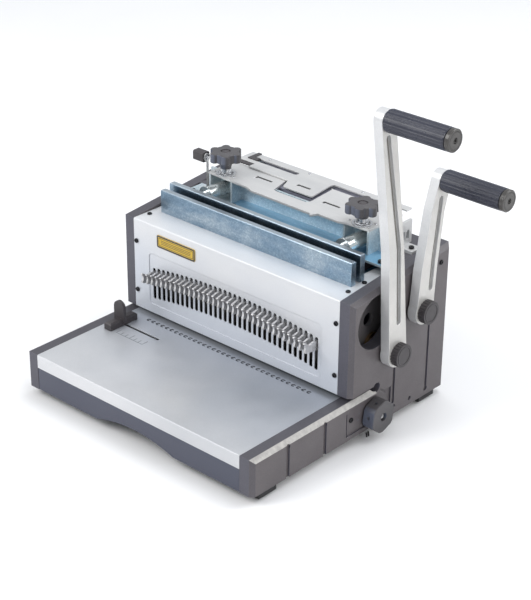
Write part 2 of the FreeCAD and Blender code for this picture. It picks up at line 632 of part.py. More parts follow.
def star_knob(side, base, turn):
    """Six-lobed knob on a tapered hub, bored from below for its stud."""
    x = side * KNOB_X
    top_z = base + KNOB_HEIGHT
    knob = rod_z(LOBE_DISC_R, base, top_z, x, KNOB_Y)
    lobes = []
    for i in range(6):
        angle = math.radians(60 * i + turn)
        lobes.append(rod_z(LOBE_R, base, top_z, x + LOBE_CENTRE_R * math.cos(angle),
                           KNOB_Y + LOBE_CENTRE_R * math.sin(angle)))
    knob = knob.fuse(lobes).removeSplitter()
    rims = [e for e in knob.Edges if e.BoundBox.ZLength < 0.01]
    knob = knob.makeFillet(1.8, rims)
    hub = Part.makeCone(7.0, 9.5, base - HUB_BOTTOM, vec(x, KNOB_Y, HUB_BOTTOM), Z_AXIS)
    dish = rod_z(7.0, top_z - 1.2, top_z + 1, x, KNOB_Y)
    knob = knob.fuse(hub).cut(dish).cut(rod_z(STUD_R + RUN, HUB_BOTTOM - 1, top_z - 4, x, KNOB_Y))
    return knob.removeSplitter()


def star_knobs():
    """Clamp knobs on threaded studs with a collar, one over each guide bush."""
    for side, name, base, turn in ((-1, "left", KNOB_Z_LEFT, 12.0), (1, "right", KNOB_Z_RIGHT, 54.5)):
        x = side * KNOB_X
        place("star_knob_" + name, star_knob(side, base, turn))
        collar = rod_z(7.5, TOP_Z + 3.0, HUB_BOTTOM, x, KNOB_Y)
        stud = rod_z(STUD_R, 223, base + KNOB_HEIGHT - 4.5, x, KNOB_Y).fuse(collar)
        place("star_stud_" + name, stud.removeSplitter())
    nuts = []
    for side in (-1, 1):
        corner = [(side * KNOB_X + 10 * math.cos(math.pi * k / 3), KNOB_Y + 10 * math.sin(math.pi * k / 3))
                  for k in range(6)]
        bore = rod_z(STUD_R + 0.3, TOP_Z - 1, TOP_Z + 5, side * KNOB_X, KNOB_Y)
        nuts.append(prism_z(corner, TOP_Z, TOP_Z + 2.7).cut(bore))
    place("stud_nuts", group(nuts))


def size_knob():
    """Loop size knob at the left end of the head, on a narrow upright strip."""
    y, z = SIZE_KNOB_YZ
    x0, x1 = SIZE_PLATE_X
    strip_y0, strip_y1 = 100.4, 103.5
    strip = block(x0, x1, strip_y0, strip_y1, 200, z).fuse(rod_x(5.5, x0, x1, SIZE_KNOB_YZ))
    spacer = block(x1, -BRACKET_OUTER_X, 101.2, strip_y1, 200, TOP_Z - TOP_THICK)
    strip = strip.fuse(spacer).removeSplitter().cut(rod_x(3.0 + RUN, x0 - 1, x1 + 1, SIZE_KNOB_YZ))
    place("size_plate", strip)
    face = x0 - 0.5
    knob = rod_x(8.2, face - SIZE_KNOB_LEN, face, SIZE_KNOB_YZ)
    flats = block(face - SIZE_KNOB_LEN, face, y - 6.3, y + 6.3, z - 6.8, z + 6.8)
    knob = knob.common(flats).cut(rod_x(3.0 + RUN, face - 11.5, x1, SIZE_KNOB_YZ))
    place("size_knob", knob)
    place("size_spindle", rod_x(3.0, face - 11.0, x1 + 0.6, SIZE_KNOB_YZ))


def end_bracket():
    """Upright stop plate and foot behind the punching lever, at the right end."""
    upright = block(151, 154.5, 139, 163, 200, 231)
    upright = upright.cut(block(150, 156, 143, 148.5, 206, 218)).cut(block(150, 156, 152, 157.5, 206, 218))
    foot = block(151, 174, 139, 158, REAR_DECK_Z, 200)
    place("end_bracket", upright.fuse(foot).removeSplitter())


# ---------------------------------------------------------------- margin setting, guide, drawer
def margin_setting():
    """Margin knob, its shaft with a small eccentric, and the back stop that this shifts."""
    y, z = MARGIN_YZ
    radius = 21.5
    shaft_end = MARGIN_FACE_X - 12.5
    knob = rod_x(radius, MARGIN_BACK_X, MARGIN_FACE_X, MARGIN_YZ)
    corners = [(y + (radius + 1.6) * math.cos(math.radians(60 * k + 20)),
                z + (radius + 1.6) * math.sin(math.radians(60 * k + 20))) for k in range(6)]
    knob = knob.common(prism_x(corners, MARGIN_BACK_X, MARGIN_FACE_X))
    rim = [e for e in knob.Edges if abs(e.BoundBox.XMin - MARGIN_FACE_X) < 0.01]
    knob = knob.makeChamfer(0.9, rim)
    for k in range(6):
        angle = math.radians(60 * k + 50)
        hollow = (y + 19.4 * math.cos(angle), z + 19.4 * math.sin(angle))
        reach = vec(0, 3.0 * math.cos(angle), 3.0 * math.sin(angle))
        axis = vec(0, math.cos(angle), math.sin(angle))
        start = vec((MARGIN_BACK_X + MARGIN_FACE_X) / 2, *hollow) - reach * 0.45
        knob = knob.cut(Part.makeCylinder(2.2, 3.0, start, axis))
    knob = knob.fuse(rod_x(11, MARGIN_BACK_X - 2, MARGIN_BACK_X, MARGIN_YZ))
    knob = knob.cut(rod_x(5.5, MARGIN_FACE_X - 8, MARGIN_FACE_X + 1, MARGIN_YZ))
    knob = knob.cut(rod_x(MARGIN_SHAFT_R + RUN, MARGIN_BACK_X - 3, shaft_end + 0.5, MARGIN_YZ))
    place("margin_knob", knob.removeSplitter())
    cam_r, cam_x0, cam_x1 = 9.0, 153.5, 158.0
    shaft = rod_x(MARGIN_SHAFT_R, cam_x0, shaft_end, MARGIN_YZ)
    shaft = shaft.fuse(rod_x(cam_r, cam_x0, cam_x1, (y, z - MARGIN_THROW)))
    place("margin_shaft", shaft.removeSplitter())
    screw = rod_x(4.2, MARGIN_FACE_X - 8, MARGIN_FACE_X - 4, MARGIN_YZ)
    slot = block(MARGIN_FACE_X - 5, MARGIN_FACE_X, y - 5, y + 5, z - 0.6, z + 0.6)
    place("margin_knob_screw", screw.cut(slot))
    z0, z1 = BASE_TOP + 0.4, TOWER_BOTTOM - 0.4
    reach = cam_r + 0.8
    bar = block(-150, cam_x1, 33, 39, z0, z1).fuse(block(150, cam_x1, 33, y + reach + 5, z0, z1))
    yoke = block(cam_x0, cam_x1, y - reach - 4, y + reach + 5, z - MARGIN_THROW - reach - 2, 31)
    leg = block(cam_x0, cam_x1, 52.6, y + reach + 5, 20, z1)
    window = block(cam_x0 - 1, cam_x1 + 1, y - reach, y + reach, z - MARGIN_THROW - cam_r - 0.7, z + cam_r + 0.3)
    place("back_stop_bar", bar.fuse([yoke, leg]).cut(window).removeSplitter())


def edge_guide():
    """Paper edge guide: low rail along Y with an upright finger tab."""
    z0 = BASE_TOP + 0.2
    rail = block(-165, -152.5, -68, -20, z0, z0 + 10)
    top = [e for e in rail.Edges if abs(e.BoundBox.ZMin - z0 - 10) < 0.01 and abs(e.BoundBox.ZMax - z0 - 10) < 0.01]
    rail = rail.makeChamfer(2.2, top)
    tab = block(-168, -150, -47, -42.5, z0 + 5, z0 + 25.5).fuse(rod_y(9.0, -47, -42.5, -159, z0 + 25.5))
    guide = rail.fuse(tab)
    key = rod_z(2.0, BASE_TOP - 2.4, z0, -158.0, -41.0)
    keeper = rod_z(5.0, BASE_TOP - 4.4, BASE_TOP - 1.9, -158.0, -41.0)
    place("edge_guide", guide.fuse([key, keeper]).removeSplitter())


def chip_drawer():
    """Drawer under the tray; its front is the apron with a finger arch."""
    front = block(-175, 175, FRONT_Y + 0.3, FRONT_Y + 3.3, 0.6, 31.6)
    left, crown, right = [vec(x, FRONT_Y - 1, z) for x, z in ((-ARCH_HALF, -0.3), (0, ARCH_TOP), (ARCH_HALF, -0.3))]
    wire = Part.Wire([Part.Arc(left, crown, right).toShape(), Part.makeLine(right, left)])
    front = front.cut(Part.Face(wire).extrude(vec(0, 6, 0)))
    inner_y = -149.0
    floor = block(-152, 152, inner_y, 60, 3.4, 5.4)
    sides = both_sides(block(150, 152, FRONT_Y + 3.3, 60, 3.4, 28))
    ends = [block(-152, 152, inner_y, inner_y + 2, 3.4, 28), block(-152, 152, 58, 60, 3.4, 28)]
    place("chip_drawer", front.fuse([floor] + sides + ends).removeSplitter())


# ---------------------------------------------------------------- trim and fasteners
def badge():
    plate = block(-132, -63.5, -1.0, 0, 156.5, 174)
    place("badge_plate", plate.makeFillet(2.5, [e for e in plate.Edges if e.BoundBox.YLength > 0.5]))


def pan_screw(radius, height):
    """Screw head with a cross recess, facing up at the origin."""
    head = Part.makeCylinder(radius, height)
    head = head.makeFillet(height * 0.55, [e for e in head.Edges if abs(e.BoundBox.ZMin - height) < 0.01])
    bar = block(-radius * 0.55, radius * 0.55, -0.5, 0.5, height * 0.45, height + 1)
    return head.cut(bar).cut(bar.copy().rotate(vec(0, 0, 0), Z_AXIS, 90))


def screws():
    panel = []
    for x in (-170.5, 170.5):
        for z in (82.0, 153.0):
            screw = pan_screw(3.2, 2.2)
            screw.rotate(vec(0, 0, 0), X_AXIS, 90)
            screw.translate(vec(x, 0, z))
            panel.append(screw)
    for x, y in ((-168, 22), (167, 25), (166, 57), (-166, 57)):
        screw = pan_screw(3.2, 2.0)
        screw.translate(vec(x, y, DECK_Z))
        panel.append(screw)
    place("panel_screws", group(panel))
    side = []
    for y, z, depth in ((171.0, 182.0, 0), (5.0, 26.0, 2)):
        screw = pan_screw(3.4, 1.8)
        screw.rotate(vec(0, 0, 0), Y_AXIS, 90)
        screw.translate(vec(FRAME_OUT - depth, y, z))
        side.append(screw)
    place("cover_screws", group(side))


def feet():
    feet_list = []
    for y in (-145.0, 160.0):
        foot = block(166, 193, y - 15, y + 15, -FOOT_HEIGHT, 0)
        low = [e for e in foot.Edges if e.BoundBox.ZMax < -FOOT_HEIGHT + 0.01]
        feet_list += both_sides(foot.makeChamfer(3, low))
    place("rubber_feet", group(feet_list))


def build():
    os.makedirs("parts", exist_ok=True)
    side_covers()
    paper_tray()
    front_panel()
    base_pan()
    rear_cover()
    side_plates()
    shaft_bushes()
    die_and_guide()
    punch_unit()
    hook_comb()
    levers()
    jaws()
    bracket()
    guide_bushes()
    closing_slide()
    slide_end_cap()
    top_plate()
    star_knobs()
    size_knob()
    end_bracket()
    margin_setting()
    edge_guide()
    chip_drawer()
    badge()
    screws()
    feet()


build()
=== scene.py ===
import json
import math

import bmesh
import bpy
from mathutils import Matrix, Vector

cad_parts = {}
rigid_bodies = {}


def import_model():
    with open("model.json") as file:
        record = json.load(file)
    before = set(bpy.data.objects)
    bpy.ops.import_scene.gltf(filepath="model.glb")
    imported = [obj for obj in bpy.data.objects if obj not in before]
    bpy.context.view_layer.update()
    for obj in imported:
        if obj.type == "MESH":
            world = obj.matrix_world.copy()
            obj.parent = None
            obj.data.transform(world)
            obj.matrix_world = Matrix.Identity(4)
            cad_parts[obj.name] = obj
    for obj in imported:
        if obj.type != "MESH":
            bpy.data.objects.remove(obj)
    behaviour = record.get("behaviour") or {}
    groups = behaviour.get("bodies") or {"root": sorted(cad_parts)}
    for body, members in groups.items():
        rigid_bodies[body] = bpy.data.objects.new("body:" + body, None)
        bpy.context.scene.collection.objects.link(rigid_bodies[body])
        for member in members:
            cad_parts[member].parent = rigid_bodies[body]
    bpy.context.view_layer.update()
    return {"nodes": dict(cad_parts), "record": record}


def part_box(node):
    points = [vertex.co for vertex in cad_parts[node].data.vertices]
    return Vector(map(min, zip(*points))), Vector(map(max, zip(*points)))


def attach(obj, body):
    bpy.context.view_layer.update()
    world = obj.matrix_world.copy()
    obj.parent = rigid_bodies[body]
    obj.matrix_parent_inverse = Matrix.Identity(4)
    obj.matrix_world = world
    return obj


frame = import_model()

UP, FRONT, REAR, RIGHT, LEFT = (0, 0, 1), (0, -1, 0), (0, 1, 0), (1, 0, 0), (-1, 0, 0)

# ------------------------------------------------------------------ the machine's own datum
# Millimetres from the middle of the tower's front panel: X right, Y to the rear, Z up from the
# bottom of the base pan.
panel_low, panel_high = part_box("front_panel")
DATUM = Vector(((panel_low.x + panel_high.x) / 2, panel_low.y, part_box("base_pan")[0].z))


def at(x, y, z):
    """The point, in metres, of a place given in the machine's millimetres."""
    return DATUM + Vector((x, y, z)) / 1000


def far_side(node, axis):
    """A node's highest place on an axis, in the machine's millimetres."""
    return (getattr(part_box(node)[1], axis) - getattr(DATUM, axis)) * 1000


# ------------------------------------------------------------------ colours
def grey(value):
    return (value, value, value)


def brighter(colour, gain, lift=0.0):
    return tuple(min(1, channel * gain + lift) for channel in colour)


# ------------------------------------------------------------------ material building blocks
# Noise scales are per metre. Distances, such as a bump's height or a bevel's radius, are in metres.
class Graph:
    """One node material, built from small steps."""

    def __init__(self, name):
        self.mat = bpy.data.materials.new(name)
        self.mat.use_nodes = True
        self.tree = self.mat.node_tree
        self.tree.nodes.clear()
        self.shader = self.node("ShaderNodeBsdfPrincipled")
        self.link(self.shader.outputs[0], self.node("ShaderNodeOutputMaterial").inputs[0])
        self.coord = self.node("ShaderNodeTexCoord").outputs["Object"]

    def link(self, a, b):
        self.tree.links.new(a, b)

    def node(self, kind, **values):
        made = self.tree.nodes.new(kind)
        for key, value in values.items():
            setattr(made, key, value)
        return made

    def stretched(self, scale):
        """Coordinates scaled differently along the three axes."""
        mapping = self.node("ShaderNodeMapping")
        mapping.inputs["Scale"].default_value = scale
        self.link(self.coord, mapping.inputs["Vector"])
        return mapping.outputs[0]

    def noise(self, scale, detail=3.0, rough=0.55, vector=None, distortion=0.0):
        made = self.node("ShaderNodeTexNoise")
        made.inputs["Scale"].default_value = scale
        made.inputs["Detail"].default_value = detail
        made.inputs["Roughness"].default_value = rough
        made.inputs["Distortion"].default_value = distortion
        self.link(vector or self.coord, made.inputs["Vector"])
        return made.outputs["Fac"]

    def cells(self, scale):
        """A random value for each grain of a coating."""
        made = self.node("ShaderNodeTexVoronoi")
        made.inputs["Scale"].default_value = scale
        self.link(self.coord, made.inputs["Vector"])
        split = self.node("ShaderNodeSeparateColor")
        self.link(made.outputs["Color"], split.inputs[0])
        return split.outputs[0]

    def ramp(self, value, stops):
        made = self.node("ShaderNodeValToRGB")
        ramp = made.color_ramp
        while len(ramp.elements) < len(stops):
            ramp.elements.new(0.5)
        for element, (position, colour) in zip(ramp.elements, stops):
            element.position = position
            element.color = (*colour, 1)
        self.link(value, made.inputs[0])
        return made.outputs[0]

    def spread(self, value, low, high, start=0.3, end=0.7):
        """Turn the range from start to end into the range from low to high."""
        made = self.node("ShaderNodeMapRange")
        made.inputs["From Min"].default_value = start
        made.inputs["From Max"].default_value = end
        made.inputs["To Min"].default_value = low
        made.inputs["To Max"].default_value = high
        self.link(value, made.inputs["Value"])
        return made.outputs[0]

    def place(self, axis):
        split = self.node("ShaderNodeSeparateXYZ")
        self.link(self.coord, split.inputs[0])
        return split.outputs[axis]

    def along(self, axis, start, end, first, last):
        """Slow change of tone between two places on an axis, broken up by broad noise."""
        wobble = self.spread(self.noise(5, 3), -0.05, 0.05)
        drifting = self.math("ADD", self.place(axis), wobble)
        return self.ramp(self.spread(drifting, 0, 1, start, end), [(0.0, first), (1.0, last)])

    def between(self, axis, start, end):
        """0 before one place on an axis, 1 past another."""
        if start > end:
            return self.spread(self.place(axis), 1.0, 0.0, end, start)
        return self.spread(self.place(axis), 0.0, 1.0, start, end)

    def facing(self, direction, start=0.6, end=0.9):
        """1 on faces that look in a direction, 0 on the others."""
        dot = self.node("ShaderNodeVectorMath", operation="DOT_PRODUCT")
        self.link(self.node("ShaderNodeNewGeometry").outputs["True Normal"], dot.inputs[0])
        dot.inputs[1].default_value = Vector(direction).normalized()
        return self.spread(dot.outputs["Value"], 0.0, 1.0, start, end)

    def edge(self, radius):
        """Near 1 where two faces meet, near 0 on the flat."""
        bevel = self.node("ShaderNodeBevel", samples=4)
        bevel.inputs["Radius"].default_value = radius
        dot = self.node("ShaderNodeVectorMath", operation="DOT_PRODUCT")
        self.link(bevel.outputs[0], dot.inputs[0])
        self.link(self.node("ShaderNodeNewGeometry").outputs["True Normal"], dot.inputs[1])
        gap = self.math("SUBTRACT", 1.0, dot.outputs["Value"])
        return self.spread(gap, 0.0, 1.0, 0.02, 0.25)

    def math(self, operation, a, b):
        made = self.node("ShaderNodeMath", operation=operation)
        for socket, value in zip(made.inputs, (a, b)):
            if isinstance(value, (int, float)):
                socket.default_value = value
            else:
                self.link(value, socket)
        return made.outputs[0]

    def mix(self, factor, a, b, blend="MIX"):
        made = self.node("ShaderNodeMix", data_type="RGBA", blend_type=blend)
        for socket, value in ((made.inputs[0], factor), (made.inputs[6], a), (made.inputs[7], b)):
            if isinstance(value, (int, float)):
                socket.default_value = value
            elif isinstance(value, tuple):
                socket.default_value = (*value, 1)
            else:
                self.link(value, socket)
        return made.outputs[2]

    def multiply(self, amount, tint, colour):
        return self.mix(amount, tint, colour, "MULTIPLY")

    def shaded(self, where, tint, shade):
        """The tint multiplied by a shade in one place only."""
        return self.mix(where, tint, self.multiply(1.0, tint, shade))

    def wear_and_edge_highlight(self, amount, tint, colour, radius=0.0008):
        """The tint with another colour along its edges: partly wear, partly a painted highlight."""
        return self.mix(self.math("MULTIPLY", self.edge(radius), amount), tint, colour)

    def relief(self, steps, round_edge=0.0):
        """Chain of bumps: (height value, strength, distance in metres)."""
        normal = None
        if round_edge:
            bevel = self.node("ShaderNodeBevel", samples=4)
            bevel.inputs["Radius"].default_value = round_edge
            normal = bevel.outputs[0]
        for height, strength, distance in steps:
            bump = self.node("ShaderNodeBump")
            bump.inputs["Strength"].default_value = strength
            bump.inputs["Distance"].default_value = distance
            self.link(height, bump.inputs["Height"])
            if normal:
                self.link(normal, bump.inputs["Normal"])
            normal = bump.outputs[0]
        self.link(normal, self.shader.inputs["Normal"])

    def finish(self, colour, rough, metallic=0.0, **fixed):
        self.link(colour, self.shader.inputs["Base Color"])
        self.link(rough, self.shader.inputs["Roughness"])
        self.shader.inputs["Metallic"].default_value = metallic
        for key, value in fixed.items():
            self.shader.inputs[key.replace("_", " ")].default_value = value
        return self.mat


# ------------------------------------------------------------------ kinds of material
# Tones are linear RGB, and a ramp's stops are pairs of a position and a tone.
# The side covers' bevel takes a painted highlight, starting below the first height and full below
# the second. A lever arm's groove takes a painted shade between two depths under its face. In
# metres.
BEVEL_HIGHLIGHT_STARTS, BEVEL_HIGHLIGHT_FULL = 0.075, 0.070
GROOVE_SHADE_STARTS, GROOVE_SHADE_FULL = 0.001, 0.003
ARM_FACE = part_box("punch_arm")[1].x


def moulded(name, dark, light, grain=1100.0, rough=(0.42, 0.56), wear_and_edge_highlight=0.25, painted_shades=(),
            bevel_highlight=None):
    """Moulded plastic with a fine spark-eroded grain and lighter edges, from wear and a painted
    highlight.

    painted_shades: pairs of a direction and a factor of painted light and shade for faces that look
    there. bevel_highlight: the tone of a painted highlight on the low outer bevel.
    """
    g = Graph(name)
    tint = g.ramp(g.noise(14, 4), [(0.3, dark), (0.7, light)])
    speck = g.ramp(g.noise(grain * 0.6, 2), [(0.35, grey(0.82)), (0.65, grey(1.12))])
    tint = g.multiply(0.5, tint, speck)
    # Edges lighter: partly wear, partly a painted highlight.
    tint = g.wear_and_edge_highlight(wear_and_edge_highlight, tint, brighter(light, 2.2, 0.03))
    # Painted light and shade: faces that look a given way take a factor.
    for direction, shade in painted_shades:
        tint = g.shaded(g.facing(direction), tint, shade)
    # Painted highlight along the outer bevel low on the covers, broken by noise.
    if bevel_highlight:
        patchy = g.spread(g.noise(150, 4, 0.7), 0.55, 1.0)
        bevel_highlight_mask = g.math("MULTIPLY", g.facing((1, 0, 1), 0.97, 0.995), patchy)
        low = g.between("Z", BEVEL_HIGHLIGHT_STARTS, BEVEL_HIGHLIGHT_FULL)
        tint = g.mix(g.math("MULTIPLY", bevel_highlight_mask, low), tint, bevel_highlight)
    g.relief([(g.noise(grain, 2), 0.55, 0.00012), (g.noise(55, 3), 0.12, 0.0004)], 0.0009)
    return g.finish(tint, g.spread(g.noise(38, 4), *rough), Specular_IOR_Level=0.42)


def painted_sheet(name, dark, light, metallic, rough=(0.36, 0.48), flake=2600.0, peel=420.0,
                  drift=(), front=None):
    """Stove-enamelled sheet: metal flake, faint orange peel, and folds brighter by wear and a
    painted highlight.

    drift: arguments for Graph.along, one row for each slow change of tone. front: a factor of
    painted light on faces that look to the front.
    """
    g = Graph(name)
    tint = g.ramp(g.noise(6, 5, 0.6), [(0.28, dark), (0.72, light)])
    for slope in drift:
        tint = g.multiply(1.0, tint, g.along(*slope))
    # Painted light on faces that look to the front.
    if front:
        tint = g.shaded(g.facing(FRONT), tint, front)
    flakes = g.ramp(g.noise(flake, 1), [(0.38, grey(0.86)), (0.62, grey(1.1))])
    tint = g.multiply(0.55, tint, flakes)
    # Edges lighter: partly wear, partly a painted highlight.
    tint = g.wear_and_edge_highlight(0.2, tint, brighter(light, 1.25), 0.0006)
    g.relief([(g.noise(peel, 2), 0.22, 0.00012), (g.noise(flake, 1), 0.12, 0.00004)], 0.0007)
    return g.finish(tint, g.spread(g.noise(24, 4), *rough), metallic)


def plated(name, stops, stretch, rough=(0.24, 0.42), cloud=1.0, metallic=1.0, spotted=0.25,
           painted_tones=(), spangle=0.0):
    """Plated sheet or bar: rolled streaks under a thin, slightly clouded film.

    painted_tones: painted light, shade and reflection, rows of a direction, the tone of faces that
    look there, and limits, which are arguments for Graph.between. spangle: how strongly the
    coating's grains differ.
    """
    g = Graph(name)
    roll = g.noise(1.0, 6, 0.62, g.stretched(stretch))
    clouds = g.noise(16 * cloud, 5, 0.6, distortion=0.6)
    mixed = g.math("ADD", g.math("MULTIPLY", roll, 0.55), g.math("MULTIPLY", clouds, 0.45))
    tint = g.ramp(mixed, stops)
    spots = g.ramp(g.noise(230, 3, 0.7), [(0.60, grey(1.0)), (0.74, grey(0.80))])
    tint = g.multiply(spotted, tint, spots)
    if spangle:
        grain = g.ramp(g.cells(560), [(0.0, (0.74, 0.78, 0.80)), (0.7, (1.06, 1.04, 1.03)),
                                      (1.0, (1.34, 1.30, 1.26))])
        tint = g.multiply(spangle, tint, grain)
    # Painted light, shade and reflection: faces that look a given way take another tone.
    for direction, tone, limits in painted_tones:
        where = g.facing(direction)
        for limit in limits:
            where = g.math("MULTIPLY", where, g.between(*limit))
        tint = g.mix(where, tint, g.mix(0.75, tint, tone))
    # Edges lighter: partly wear, partly a painted highlight.
    tint = g.wear_and_edge_highlight(0.35, tint, (0.86, 0.88, 0.9), 0.0005)
    fine = g.noise(1.0, 3, 0.6, g.stretched((300, 700, 700)))
    g.relief([(roll, 0.05, 0.0002), (fine, 0.05, 0.00003)], 0.0006)
    rub = g.math("ADD", g.math("MULTIPLY", clouds, 0.6), g.math("MULTIPLY", fine, 0.4))
    return g.finish(tint, g.spread(rub, *rough), metallic)


def bare_metal(name, dark, light, stretch, rough=(0.25, 0.4), metallic=1.0):
    """Ground or turned metal with its tool marks."""
    g = Graph(name)
    marks = g.noise(1.0, 4, 0.6, g.stretched(stretch))
    tint = g.ramp(marks, [(0.3, dark), (0.7, light)])
    stain = g.ramp(g.noise(40, 4), [(0.35, grey(0.88)), (0.6, grey(1.0))])
    tint = g.multiply(0.7, tint, stain)
    g.relief([(marks, 0.35, 0.00006)], 0.0005)
    return g.finish(tint, g.spread(g.noise(60, 4), *rough), metallic)


def cast_alloy(name, dark, light):
    """Die-cast arm, blasted and tumbled: fine pits, lighter edges, painted shade on face and
    groove.
    """
    g = Graph(name)
    tint = g.ramp(g.noise(18, 5, 0.6), [(0.3, dark), (0.7, light)])
    pits = g.ramp(g.noise(900, 2, 0.7), [(0.30, grey(0.80)), (0.48, grey(1.0))])
    tint = g.multiply(0.5, tint, pits)
    # Painted shade: the outer face darker, and darker still in the groove.
    outer = g.facing(RIGHT)
    tint = g.shaded(outer, tint, (0.88, 0.86, 0.82))
    groove = g.between("X", ARM_FACE - GROOVE_SHADE_STARTS, ARM_FACE - GROOVE_SHADE_FULL)
    tint = g.shaded(g.math("MULTIPLY", outer, groove), tint, (0.42, 0.41, 0.39))
    # Edges lighter: partly wear, partly a painted highlight.
    tint = g.wear_and_edge_highlight(0.5, tint, (0.93, 0.94, 0.95), 0.001)
    g.relief([(g.noise(1300, 2), 0.35, 0.00009), (g.noise(120, 3), 0.10, 0.0003)], 0.0011)
    return g.finish(tint, g.spread(g.noise(70, 4), 0.34, 0.5), 0.45)


def rubber_like(name, dark, light):
    """Matt rubber with dust on its grain; the black fills that stand for shade in window slits use
    it.
    """
    g = Graph(name)
    tint = g.ramp(g.noise(60, 4), [(0.3, dark), (0.7, light)])
    dust = g.ramp(g.noise(420, 3), [(0.55, grey(1.0)), (0.75, grey(1.6))])
    tint = g.multiply(0.6, tint, dust)
    g.relief([(g.noise(800, 2), 0.5, 0.00015)], 0.0012)
    return g.finish(tint, g.spread(g.noise(90, 3), 0.7, 0.86))


def ink(name, colour):
    """Screen-printed ink, a little thin in places."""
    g = Graph(name)
    tint = g.ramp(g.noise(700, 3), [(0.35, colour), (0.75, brighter(colour, 1.6, 0.03))])
    g.relief([(g.noise(1500, 2), 0.2, 0.00004)])
    return g.finish(tint, g.spread(g.noise(200, 2), 0.5, 0.65))


# ------------------------------------------------------------------ the machine's materials
# Painted shade on front and top faces, a painted highlight on the low bevel, and edges lighter by
# wear and painted highlight.
COVER = moulded("moulded_cover", (0.082, 0.073, 0.077), (0.104, 0.093, 0.098),
                rough=(0.34, 0.46), wear_and_edge_highlight=0.75, bevel_highlight=(0.46, 0.445, 0.42),
                painted_shades=((FRONT, (0.84, 0.92, 1.10)), (UP, (0.74, 0.80, 0.90))))
KNOB = moulded("moulded_knob", (0.036, 0.032, 0.035), (0.056, 0.050, 0.054),
               grain=1500, rough=(0.34, 0.48))
# Front faces painted lighter and bluer: painted light.
WHEEL = moulded("moulded_wheel", (0.052, 0.050, 0.054), (0.078, 0.074, 0.078),
                grain=1300, rough=(0.34, 0.46), painted_shades=((FRONT, (1.4, 1.65, 2.1)),))
# Rims at full edge strength: a painted highlight, partly wear.
CAP = moulded("moulded_grip_cap", (0.050, 0.047, 0.045), (0.074, 0.070, 0.066),
              grain=1300, rough=(0.18, 0.28), wear_and_edge_highlight=1.0)
GRIP = moulded("moulded_grip", (0.024, 0.026, 0.040), (0.036, 0.039, 0.058),
               grain=1700, rough=(0.24, 0.36), wear_and_edge_highlight=0.5)

# The tray darkens towards the rear, a painted shade under the tower, and towards the right; its
# front faces take painted light.
TRAY = painted_sheet("tray_silver_paint", (0.52, 0.53, 0.55), (0.61, 0.615, 0.63), 0.45,
                     rough=(0.34, 0.46), front=(1.16, 1.15, 1.14),
                     drift=(("Y", -0.165, 0.0, (1.0, 1.0, 1.0), (0.65, 0.69, 0.76)),
                            ("X", -0.12, 0.03, (1.04, 1.04, 1.04), (0.86, 0.87, 0.88))))
PANEL = painted_sheet("panel_silver_paint", (0.64, 0.65, 0.67), (0.72, 0.725, 0.74), 0.3,
                      rough=(0.38, 0.5),
                      drift=(("Z", 0.09, 0.19, (0.88, 0.91, 0.96), (1.0, 1.0, 1.0)),))
APRON = painted_sheet("apron_dark_paint", (0.068, 0.074, 0.102), (0.086, 0.092, 0.124), 0.1,
                      rough=(0.36, 0.5), flake=1500.0, peel=900.0,
                      drift=(("X", -0.08, 0.14, (0.88, 0.88, 0.92), (0.74, 0.76, 0.82)),))
SHADE = painted_sheet("side_plate_grey_paint", (0.115, 0.108, 0.112), (0.150, 0.142, 0.147), 0.1,
                      rough=(0.4, 0.55))
RAIL = painted_sheet("slide_rail_grey", (0.20, 0.20, 0.255), (0.26, 0.26, 0.32), 0.2)

# Top faces take a paler tone: painted light.
JAW = plated("zinc_plate_jaw",
             [(0.30, (0.11, 0.17, 0.24)), (0.44, (0.18, 0.26, 0.34)),
              (0.54, (0.33, 0.40, 0.46)), (0.68, (0.68, 0.73, 0.73))],
             (2, 22, 22), rough=(0.26, 0.40), cloud=0.7, spotted=0.4, spangle=0.7,
             painted_tones=((UP, (0.66, 0.73, 0.78), ()),))
# Low up-facing faces, apart from the far left, take a deep blue: a painted reflection.
ZINC = plated("zinc_plate_blue",
              [(0.28, (0.38, 0.50, 0.57)), (0.45, (0.50, 0.60, 0.65)),
               (0.60, (0.64, 0.70, 0.73)), (0.78, (0.78, 0.80, 0.79))],
              (3, 30, 30), rough=(0.36, 0.50), cloud=0.8, metallic=0.6, spangle=0.5,
              painted_tones=((UP, (0.15, 0.41, 0.63), (("X", -0.156, -0.150), ("Z", 0.225, 0.215))),))
BUSH = plated("zinc_plate_bush", [(0.30, (0.58, 0.66, 0.68)), (0.70, (0.80, 0.83, 0.82))],
              (30, 300, 30), rough=(0.20, 0.30), metallic=0.85, spotted=0.5)
# Front faces nearly black: a painted shade.
STRIP = plated("strip_plate", [(0.3, (0.66, 0.67, 0.67)), (0.7, (0.76, 0.76, 0.75))],
               (60, 60, 6), rough=(0.3, 0.42), metallic=0.4,
               painted_tones=((FRONT, (0.02, 0.02, 0.025), ()),))
BRIGHT = plated("zinc_sheet_bright",
                [(0.25, (0.54, 0.545, 0.55)), (0.5, (0.62, 0.62, 0.618)),
                 (0.75, (0.69, 0.685, 0.675))],
                (6, 60, 60), rough=(0.40, 0.52), cloud=1.5, metallic=0.55, spotted=0.15)
BADGE = plated("badge_gold_film", [(0.3, (0.52, 0.34, 0.03)), (0.7, (0.68, 0.47, 0.07))],
               (20, 20, 20), rough=(0.3, 0.42), metallic=0.5)

